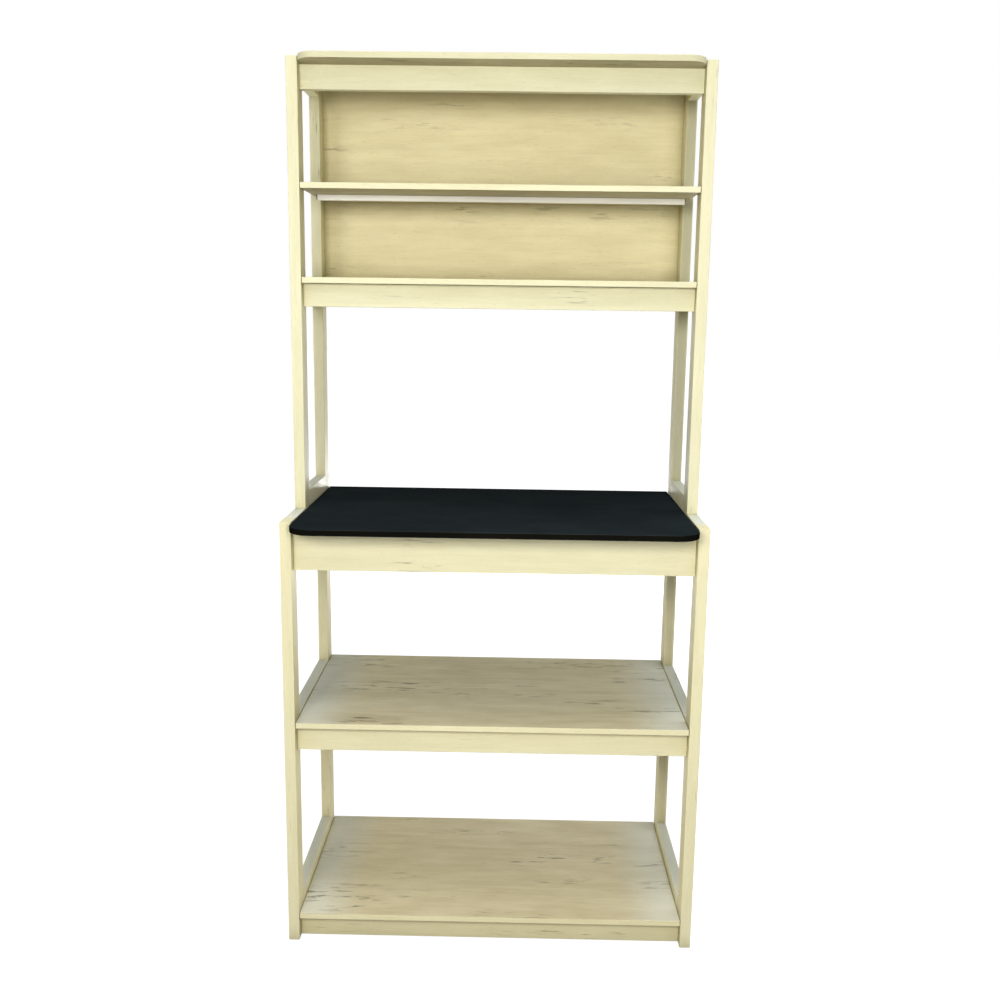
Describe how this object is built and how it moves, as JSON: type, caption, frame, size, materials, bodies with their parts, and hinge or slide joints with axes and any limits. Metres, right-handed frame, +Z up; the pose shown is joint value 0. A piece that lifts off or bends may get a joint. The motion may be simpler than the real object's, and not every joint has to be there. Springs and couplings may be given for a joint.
{
  "type": "bakers rack",
  "caption": "Tall open bakers rack: a deep base with shelves and a black worktop with rounded front corners, and a set-back hutch with shelves and a back panel.",
  "frame": {"origin": "on the floor, under the middle of the whole rack's width and depth", "axes": "+X to the right seen from the front, +Y to the back, +Z up"},
  "size_m": [0.844, 0.5052, 1.8],
  "materials": {
    "frame_wood": "pale natural wood under a clear satin lacquer, fine brown grain flecks along each piece",
    "shelf_board": "pale wood boards with straight fine grain from side to side, clear satin lacquer",
    "back_board": "thin pale wood-faced panel, grain from side to side, satin",
    "worktop_laminate": "board under black laminate, low sheen, slightly dusty",
    "bar_paint": "smooth off-white paint on a square steel tube",
    "black_plastic": "moulded matt plastic",
    "zinc_steel": "zinc plated steel"
  },
  "bodies": {
    "root": {"base_post_front_left": "frame_wood", "base_post_front_right": "frame_wood", "base_post_back_left": "frame_wood", "base_post_back_right": "frame_wood", "hutch_post_front_left": "frame_wood", "hutch_post_front_right": "frame_wood", "hutch_post_back_left": "frame_wood", "hutch_post_back_right": "frame_wood", "base_bottom_side_rail_left": "frame_wood", "base_bottom_side_rail_right": "frame_wood", "base_middle_side_rail_left": "frame_wood", "base_middle_side_rail_right": "frame_wood", "base_top_side_rail_left": "frame_wood", "base_top_side_rail_right": "frame_wood", "hutch_sill_rail_left": "frame_wood", "hutch_sill_rail_right": "frame_wood", "hutch_shelf_side_rail_left": "frame_wood", "hutch_shelf_side_rail_right": "frame_wood", "hutch_top_side_rail_left": "frame_wood", "hutch_top_side_rail_right": "frame_wood", "bottom_shelf_front_rail": "frame_wood", "bottom_shelf_back_rail": "frame_wood", "middle_shelf_front_rail": "frame_wood", "middle_shelf_back_rail": "frame_wood", "worktop_front_apron": "frame_wood", "worktop_back_rail": "frame_wood", "hutch_shelf_front_apron": "frame_wood", "hutch_shelf_back_rail": "frame_wood", "top_front_apron": "frame_wood", "bottom_shelf": "shelf_board", "middle_shelf": "shelf_board", "hutch_lower_shelf": "shelf_board", "hutch_upper_shelf": "shelf_board", "top_panel": "shelf_board", "back_panel": "back_board", "worktop": "worktop_laminate", "support_bar": "bar_paint", "support_bar_plug_left": "black_plastic", "support_bar_plug_right": "black_plastic", "foot_glide_front_left": "black_plastic", "foot_glide_front_right": "black_plastic", "foot_glide_back_left": "black_plastic", "foot_glide_back_right": "black_plastic", "upper_shelf_screw_front_left": "zinc_steel", "upper_shelf_screw_front_right": "zinc_steel", "upper_shelf_screw_back_left": "zinc_steel", "upper_shelf_screw_back_right": "zinc_steel", "hutch_bolt_front_left": "zinc_steel", "hutch_bolt_front_right": "zinc_steel", "hutch_bolt_back_left": "zinc_steel", "hutch_bolt_back_right": "zinc_steel", "top_panel_peg_left": "zinc_steel", "top_panel_peg_right": "zinc_steel", "back_panel_screw_bottom_left": "zinc_steel", "back_panel_screw_bottom_right": "zinc_steel", "back_panel_screw_top_left": "zinc_steel", "back_panel_screw_top_right": "zinc_steel", "support_bar_screw_left": "zinc_steel", "support_bar_screw_right": "zinc_steel"}
  },
  "joints": []
}
